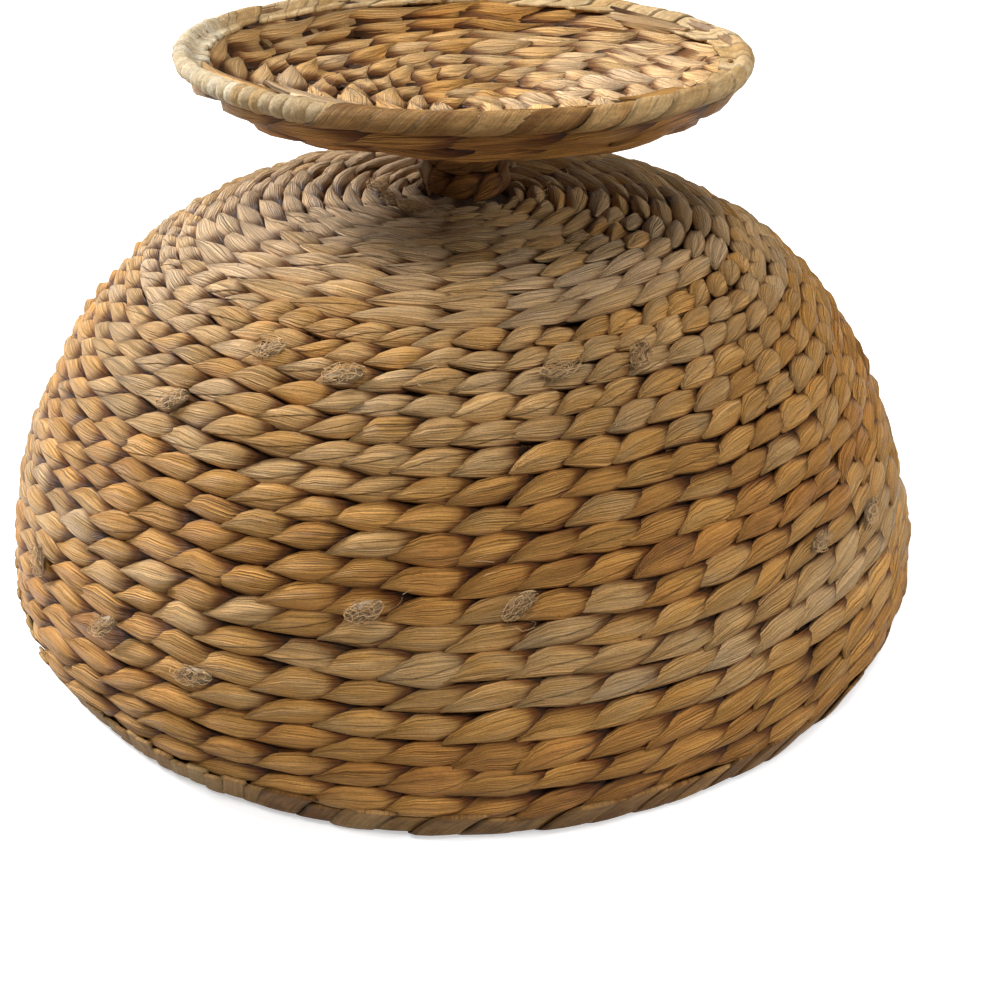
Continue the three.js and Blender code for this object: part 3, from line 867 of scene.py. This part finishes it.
stitches = layRows(rng, bowlWall, outerRows, counts, bowlWeave, bowlTone, litSide)
split = sum(counts[:bowlWeave["lowerRows"]])
lower = wovenPiece("bowl_weave_lower", stitches[:split], shelves["leaf"], bowlSection, sectionFrom, seagrass)
upper = wovenPiece("bowl_weave_upper", stitches[split:], shelves["leaf"], bowlSection, sectionFrom, seagrass)
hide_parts(*[f"bowl_course_{i:02d}" for i in range(1, 13)])
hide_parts(*[f"bowl_course_{i:02d}" for i in range(13, 29)], "bowl_crown")

liningDepth = liningWeave["depth"]
liningRows = bowlRows + [bowlEnd + more for more in liningWeave["crownRows"]]
counts = stitchCounts(bowlWall, liningRows, liningWeave, liningDepth)
counts[-2:] = liningWeave["crownStitches"]
stitches = layRows(rng, bowlWall, liningRows, counts, liningWeave)
lining = wovenPiece("bowl_lining", stitches, shelves["lining"], bowlSection, sectionFrom, seagrass,
                    seed=liningWeave["seed"])
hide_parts("bowl_inner_weft")


# Foot dish, under and inside, and the stem

footWeave = {
    "stitches": 20, "pairedBelow": 42, "knotBelow": 0,
    "firstTurn": -81,
    "overHub": 5, "pastRim": 2.2,            # how far the underside's rows go on at either end, mm
    "tone": 0.72, "spread": 0.08, "light": 0.9, "relief": 1.1,
    "seed": 23,
}
dishWeave = {
    "depth": footShape["wall"] + 0.7,
    "rows": 7, "lastRow": 0.8, "beforeRim": 0.2,
    "hubRows": (16, 8), "hubStitches": [5, 10],          # rows that close the hub, mm from its edge
    "stitches": footWeave["stitches"] + 2, "pairedBelow": 28, "knotBelow": 0,
    "firstTurn": footWeave["firstTurn"],
    "lean": 0.18,            # the leaves slant more on one side than on the other, radians
    # On the right, where the inside wall faces the key lamp, the tone is paler and the leaves brighter:
    # painted light
    "tone": 0.44, "sideTone": -0.12, "paintedLightingTone": -0.18, "spread": 0.06,
    "pale": 0.5, "paintedLightPale": 1.1,
    "relief": 1.35, "overlap": 1.12,
    # long leaves along the inner side of the rim: the middle in degrees, and the tone
    "looseEnds": [(-133, 0.5), (-112, 0.15), (-97, 0.35), (-78, 0.3), (-62, 0.55), (-42, 0.6), (40, 0.3)],
    "looseLong": (24, 34), "looseWide": 6.5, "looseProud": 1.6,
}
stemWeave = {
    "stitches": 8, "rows": 2, "firstTurn": -90, "tone": 0.9, "spread": 0.05, "light": 1.2, "margin": 4,
    "bareStake": {"turn": -150, "long": 11, "wide": 2.0, "proud": 0.8, "tint": (0.1, 1.5, 0.9)},
}
dishSectionFrom, dishSectionTo = footStart - footShape["runOn"][0], footEnd + footShape["runOn"][1]
footSection = sectionCurve("foot section", wallPoints(dishWall, dishSectionFrom, dishSectionTo))
rng = random.Random(footWeave["seed"])
underRows = [footStart - footWeave["overHub"]] + footRows[:-1] + [footEnd + footWeave["pastRim"]]
counts = stitchCounts(dishWall, underRows, footWeave)
stitches = layRows(rng, dishWall, underRows, counts, footWeave)
under = wovenPiece("foot_weave_under", stitches, shelves["dish underside"], footSection, dishSectionFrom,
                   dishLeaf, seed=7, relief=footWeave["relief"])
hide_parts(*[f"foot_course_{i}" for i in range(1, 7)], "foot_hub")

dishDepth = dishWeave["depth"]
dishRows = [footStart - back for back in dishWeave["hubRows"]]
dishRows += rowEdges(footStart, footEnd - dishWeave["beforeRim"], dishWeave["rows"], dishWeave["lastRow"])
counts = stitchCounts(dishWall, dishRows, dishWeave, dishDepth)
counts[:2] = dishWeave["hubStitches"]


def dishLean(angle):
    return -dishWeave["lean"] * cos(angle)


def dishTone(row, turn):
    side = cos(turn)
    return dishWeave["tone"] + dishWeave["sideTone"] * abs(side) + dishWeave["paintedLightingTone"] * max(0, side)


# Brighter all round, and more on the right, where the inside wall faces the key lamp: painted light on the
# right
def dishPaintedLight(row, turn):
    return dishWeave["pale"] + dishWeave["paintedLightPale"] * max(0, cos(turn))


def looseEnds(rng, middles):
    ends = []
    for turn, tone in middles:
        along = footEnd + rng.uniform(-1.0, 0.2)
        ends.append(guideAt(
            radians(turn), footWall(along, dishDepth)[0], along, -dishDepth - dishWeave["looseProud"],
            rng.uniform(*dishWeave["looseLong"]), dishWeave["looseWide"], flip=1.0,
            turnUp=rng.uniform(-0.06, 0.06), crest=(-dishDepth + 0.4) * mm,
            kind=rng.randrange(len(leafLooks)), tint=(tone, 1.0, rng.random())))
    return ends


stitches = layRows(rng, dishWall, dishRows, counts, dishWeave, dishTone, dishPaintedLight, dishLean)
stitches += looseEnds(rng, dishWeave["looseEnds"])
inside = wovenPiece("foot_weave_inside", stitches, shelves["dish inside"], footSection, dishSectionFrom,
                    dishLeaf, seed=8, relief=dishWeave["relief"])
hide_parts("foot_inner_weft")


def stemWall(along, depth=0.0):
    return footShape["stemRadius"] - depth, crownHeight + along


stemFrom = -stemWeave["margin"]
stemSection = sectionCurve("stem section", wallPoints(
    stemWall, stemFrom, footShape["stemLength"] + stemWeave["margin"], 12))
counts = [stemWeave["stitches"]] * stemWeave["rows"]
stemRows = rowEdges(0, footShape["stemLength"], stemWeave["rows"], 1)
stitches = layRows(rng, stemWall, stemRows, counts, stemWeave)
stake = stemWeave["bareStake"]
stitches.append(guideAt(
    radians(stake["turn"]), footShape["stemRadius"], footShape["stemLength"] / 2, stake["proud"],
    stake["long"], stake["wide"], turnUp=pi / 2, tint=stake["tint"]))
stem = wovenPiece("stem_weave", stitches, shelves["leaf"], stemSection, stemFrom, seagrass, seed=9)
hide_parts("stem_course_1", "stem_course_2")


# Rims: leaf wound slantwise round each hoop and over the wall's edge

windingShape = {
    "rings": 13, "crown": 0.5, "thick": 0.6, "overlap": 0.18,
    # by how much turns differ: width and brightness as shares, height in mm
    "widths": (0.85, 1.15), "unevenHeight": 0.15, "unevenTone": 0.12, "lights": (0.9, 1.08), "lap": 1.06,
    "unevenTurn": 0.02,
    "leastTurn": 0.3,        # share of a turn's width for which one more turn is still laid
    "arcSteps": 8, "length": 0.98,           # a turn's length as a share of the section's
}


# One turn of the winding, from one end of the rim's section to the other
def turnMesh(name, lean, crown=1.0, sway=0.0):
    count = windingShape["rings"]
    rings = []
    for i in range(count):
        t = i / (count - 1)
        middle = lean * (t - 0.5) + sway * sin(pi * 2 * t)
        ring = []
        for v in (0.58, 0.46, 0.15, -0.15, -0.46, -0.58):
            z = windingShape["crown"] * crown * (1 - (v / 0.58) ** 6) - windingShape["overlap"] * v * 2
            ring.append(((v + middle, t, z * mm), (t, v + 0.5)))
        for v in (-0.5, 0.5):
            z = -windingShape["thick"] - windingShape["overlap"] * v * 2
            ring.append(((v + middle, t, z * mm), (t, v + 0.5)))
        rings.append(ring)
    ends = [((lean * (t - 0.5), t, 0), (t, 0.5)) for t in (0, 1)]
    return ringMesh(name, rings, ends)


turnShelf = shapeCollection("turn shapes", [
    turnMesh("turn 0", 1.3), turnMesh("turn 1", 1.35, 1.2, 0.05), turnMesh("turn 2", 1.25, 0.8, -0.06)])


# Turns laid side by side along one stretch of a rim
def layTurns(rng, rim, length, start, end, width, tone, bright):
    turns = []
    radius, angle = rim["hoopRadius"], start
    look, uneven, rise = windingShape, windingShape["unevenTone"], windingShape["unevenHeight"]
    while angle < end - look["leastTurn"] * degrees(width / radius):
        wide = width * rng.uniform(*look["widths"])
        reach = degrees(wide / radius)
        turns.append(guideAt(
            radians(angle + reach / 2), radius, 0, rng.uniform(-rise, rise), wide * look["lap"], length,
            crest=0.0, kind=rng.randrange(3),
            tint=(tone + rng.uniform(-uneven, uneven), bright * rng.uniform(*look["lights"]), rng.random())))
        angle += reach
    return turns


bowlRim = {
    "hoopRadius": 157.4, "hoopHeight": 4.4, "wound": 3.2,
    "turnFrom": 170, "turnTo": 365,          # degrees round the hoop's section
    # stretches of the winding: from and to in degrees, a turn's width in mm, tone and brightness
    # the first stretch's lower brightness, where the rim lies under the belly, is painted shade
    "stretches": [(-200, -112, 6, 0.7, 0.84), (-112, 160, 12, 0.9, 0.92)],
    "over": (3, 0.6),        # where it ends on the weave: along from the edge and below the crests, mm
    "seed": 31, "weaveSeed": 3, "lumpHeight": 0.0004,
}
footRim = {
    "hoopRadius": 86.7, "hoopHeight": 179.6, "wound": 2.5,
    "turnFrom": -62, "turnTo": 185,
    "stretches": [(-200, -134, 4, 0.15, 0.96), (-134, -112, 4, 0.45, 0.93), (-112, -66, 14, 0.85, 0.86),
                  (-66, -30, 14, 0.65, 0.92), (-30, 160, 14, 0.5, 0.95)],
    "tuck": (-1.2, -3.4),    # where its other end lies under the hoop, mm from the hoop's middle
    "over": (2, 0.6),
    "seed": 37, "weaveSeed": 4, "lumpHeight": 0.0005,
}


# The winding's section goes from one side of the wall round the hoop to the other side
def woundRim(name, rim, first, last):
    arc, steps = [], windingShape["arcSteps"]
    for i in range(steps + 1):
        turn = radians(rim["turnFrom"] + (rim["turnTo"] - rim["turnFrom"]) * i / steps)
        arc.append((rim["hoopRadius"] + rim["wound"] * cos(turn),
                    rim["hoopHeight"] + rim["wound"] * sin(turn)))
    path = softened([first] + arc + [last])
    section = sectionCurve(name + " section", path)
    rng = random.Random(rim["seed"])
    length = pathLength(path) * windingShape["length"]
    turns = []
    for stretch in rim["stretches"]:
        turns += layTurns(rng, rim, length, *stretch)
    winding = wovenPiece(name, turns, turnShelf, section, 0, rimLeaf, seed=rim["weaveSeed"],
                         unevenTurn=windingShape["unevenTurn"], lumpHeight=rim["lumpHeight"])
    bpy.data.objects.remove(section)
    return winding


bowlWinding = woundRim("bowl_rim_winding", bowlRim, bowlWall(bowlStart, bowlShape["wall"]),
                       bowlWall(bowlStart + bowlRim["over"][0], bowlRim["over"][1]))
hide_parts("bowl_rim_wrap")
footTuck = (footRim["hoopRadius"] + footRim["tuck"][0], footRim["hoopHeight"] + footRim["tuck"][1])
footWinding = woundRim("foot_rim_winding", footRim, footTuck,
                       footWall(footEnd - footRim["over"][0], footShape["wall"] + footRim["over"][1]))
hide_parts("foot_rim_wrap")


# Worn places, where a leaf's pith has frayed into a nest of thin fibres, and single stray hairs

hairShape = {"steps": 9, "thin": 0.1}         # pieces that a hair bends in, and its radius in mm
nestShape = {"hairs": 52, "long": 11, "high": 5.5, "rise": 1.5, "curl": 0.5, "hollowShade": True}
strayShape = {"hairs": 2, "long": 9, "high": 6, "rise": 2.5, "curl": 0.3, "hollowShade": False}
fraySorts = 4                # different nests, and as many groups of stray hairs


# One closed, three-sided tube through the given points
def tubeParts(path, radius, points, faces):
    start = len(points)
    for i, here in enumerate(path):
        ahead = (path[min(i + 1, len(path) - 1)] - path[max(i - 1, 0)]).normalized()
        side = ahead.cross(Vector((0.3, 0.2, 1))).normalized()
        up = side.cross(ahead)
        for k in range(3):
            turn = 2 * pi * k / 3
            corner = here + (cos(turn) * side + sin(turn) * up) * radius
            points.append((tuple(corner), (i / (len(path) - 1), 0.35 + 0.1 * k)))
    for i in range(len(path) - 1):
        for k in range(3):
            a, b = start + i * 3 + k, start + i * 3 + (k + 1) % 3
            faces.append((a, a + 3, b + 3, b))
    last = start + (len(path) - 1) * 3
    faces += [(start, start + 1, start + 2), (last + 2, last + 1, last)]


def hairMesh(name, rng, shape, more=0):
    long, high, rise, curl = (shape[key] for key in ("long", "high", "rise", "curl"))
    points, faces = [], []
    for _ in range(shape["hairs"] + more):
        place = Vector((rng.uniform(-0.5, 0.3) * long, rng.uniform(-0.4, 0.4) * high, rng.uniform(0, rise)))
        heading = rng.uniform(-0.6, 0.6) + rng.choice((0, pi))
        bend = rng.uniform(-curl, curl)
        step = long / hairShape["steps"] * 0.7
        path = []
        for _ in range(hairShape["steps"]):
            path.append(place * mm)
            heading += bend + rng.uniform(-0.25, 0.25)
            place = place + Vector((cos(heading) * step, sin(heading) * step * 0.6,
                                    rng.uniform(-0.3, 0.3) * rise))
            place.x = min(long * 0.5, max(-long * 0.5, place.x))
            room = high * (0.55 - 1.8 * (place.x / long) ** 2)
            place.y = min(room, max(-room, place.y))
            place.z = min(rise, max(-0.4, place.z))
        tubeParts(path, hairShape["thin"] * mm * rng.uniform(0.7, 1.2), points, faces)
    # The flat lens stands for the shade under the fibres, and the finish darkens it: painted shade
    if shape["hollowShade"]:      # a flat lens under the hairs, which the finish darkens
        start, sides = len(points), 12
        for k in range(sides):
            turn = 2 * pi * k / sides
            x, y = cos(turn) * long * 0.46, sin(turn) * high * 0.42
            points.append(((x * mm, y * mm, -0.35 * mm), (0.5, 0.5)))
            a, b = start + k, start + (k + 1) % sides
            faces += [(a, b, start + sides), (b, a, start + sides + 1)]
        points += [((0, 0, 0.05 * mm), (0.5, 0.5)), ((0, 0, -0.8 * mm), (0.5, 0.5))]
    return leafUvMesh(name, points, faces)


frayRng = random.Random(53)
frayShelf = shapeCollection("fray shapes", [
    hairMesh(f"nest {i}", frayRng, nestShape) for i in range(fraySorts)] + [
    hairMesh(f"stray hair {i}", frayRng, strayShape, i % 2) for i in range(fraySorts)])

# Where they are on the bowl: degrees round, millimetres along the wall, and the shape's number
frays = [
    (-120.6, 120, 0), (-107.3, 117.2, 1), (-75.9, 120, 2), (-62.6, 120.5, 3), (-131, 96.8, 1),
    (-130.8, 28, 3), (-117.7, 26.7, 0), (-100, 55.1, 2), (-84.3, 57.5, 1), (-146.1, 28.3, 2),
    (-33.9, 46.3, 0), (-46, 51.2, 3), (40, 70, 0), (130, 60, 3),
    (-94.9, 118.1, 4), (-108.6, 117.4, 6), (-87.2, 68.3, 5), (-96.5, 58.6, 6), (-83.3, 53.4, 7),
    (-119, 28, 4), (-63.5, 121, 5),
]


def layFrays(rng, places, over):
    laid = []
    for turn, along, kind in places:
        laid.append(guideAt(
            radians(turn), bowlWall(along)[0], along, over, 0, 0, pitch=rng.uniform(0.85, 1.15),
            rowHeight=1.0, turnUp=rng.uniform(-0.5, 0.7), kind=kind,
            tint=(rng.uniform(0.2, 0.45), rng.uniform(0.85, 1.05), rng.random())))
    return laid


rng = random.Random(59)
fray = wovenPiece("bowl_frayed_fibres", layFrays(rng, frays, 0.3), frayShelf, bowlSection, sectionFrom, pith,
                  seed=6, lumpHeight=0.0)
neckFrays = [(turn, bowlEnd - 3 + rng.uniform(-6, 3), rng.randrange(fraySorts))
             for turn in (-170, -146, -122, 60)]
neckFrays += [(turn, bowlEnd - 6 + rng.uniform(-8, 3), rng.randrange(fraySorts, 2 * fraySorts))
              for turn in range(-180, 180, 20)]
neckFray = wovenPiece("neck_frayed_fibres", layFrays(rng, neckFrays, 0.6), frayShelf, bowlSection,
                      sectionFrom, pith, seed=8, lumpHeight=0.0)


# Floor and light

lightLevels = {
    "sky": 0.24,
    # the floor as the basket's underlight sees it, as the camera sees it, and its glow near and far
    "floor": 0.35, "paleFloor": 0.85, "floorGlow": 0.45, "farGlow": 0.85,
    "glowFrom": 0.6, "glowTo": 2.2, "floorSize": 6,      # metres
    # each lamp: compass turn and height in degrees, distance and size in metres, level at the basket
    "key": (154, 33, 2.0, 0.55, 1.6),
    "front": (-92, 62, 2.0, 0.45, 0.48),
    "fill": (-22, 24, 2.2, 1.0, 0.43),
}


def addFloor():
    mesh = bpy.data.meshes.new("floor")
    size = lightLevels["floorSize"]
    corners = [(-size, -size, 0), (size, -size, 0), (size, size, 0), (-size, size, 0)]
    mesh.from_pydata(corners, [], [(0, 1, 2, 3)])
    floor = addObject("floor", mesh)
    material = bpy.data.materials.new("white floor")
    tree = emptyTree(material)
    plain, pale = (
        addNode(tree, "ShaderNodeBsdfDiffuse", {"Color": (level, level, level, 1)}).outputs[0]
        for level in (lightLevels["floor"], lightLevels["paleFloor"]))
    place = addNode(tree, "ShaderNodeTexCoord").outputs["Object"]
    away = addNode(tree, "ShaderNodeVectorMath", {0: place}, operation="LENGTH").outputs["Value"]
    glow = rangeNode(tree, away, lightLevels["glowFrom"], lightLevels["glowTo"], lightLevels["floorGlow"],
                     lightLevels["farGlow"])
    glow = addNode(tree, "ShaderNodeEmission", {"Strength": glow}).outputs[0]
    both = addNode(tree, "ShaderNodeAddShader", {0: pale, 1: glow}).outputs[0]
    seen = addNode(tree, "ShaderNodeLightPath").outputs
    seenAtAll = mathNode(tree, "MAXIMUM", seen["Is Camera Ray"], seen["Is Glossy Ray"])
    shader = addNode(tree, "ShaderNodeMixShader", {0: seenAtAll, 1: plain, 2: both}).outputs[0]
    addNode(tree, "ShaderNodeOutputMaterial", {0: shader})
    mesh.materials.append(material)


def addLights():
    world = bpy.data.worlds.new("studio")
    bpy.context.scene.world = world
    tree = emptyTree(world)
    seen = addNode(tree, "ShaderNodeLightPath").outputs["Is Camera Ray"]
    strength = mathNode(tree, "MULTIPLY_ADD", seen, 1 - lightLevels["sky"], lightLevels["sky"])
    sky = addNode(tree, "ShaderNodeBackground", {"Color": (1, 1, 1, 1), "Strength": strength}).outputs[0]
    addNode(tree, "ShaderNodeOutputWorld", {0: sky})
    for name in ("key", "front", "fill"):
        turn, rise, distance, size, level = lightLevels[name]
        turn, rise = radians(turn), radians(rise)
        lamp = bpy.data.lights.new(name, "AREA")
        lamp.size = size
        lamp.energy = level * pi ** 2 * distance ** 2
        light = addObject(name, lamp)
        away = Vector((cos(rise) * cos(turn), cos(rise) * sin(turn), sin(rise)))
        light.location = away * distance + Vector((0, 0, 0.08))
        light.rotation_euler = away.to_track_quat("Z", "Y").to_euler()


addFloor()
addLights()
bpy.context.scene.view_settings.view_transform = "Standard"

for item in (bowlSection, footSection, stemSection):
    bpy.data.objects.remove(item)
bpy.context.view_layer.update()
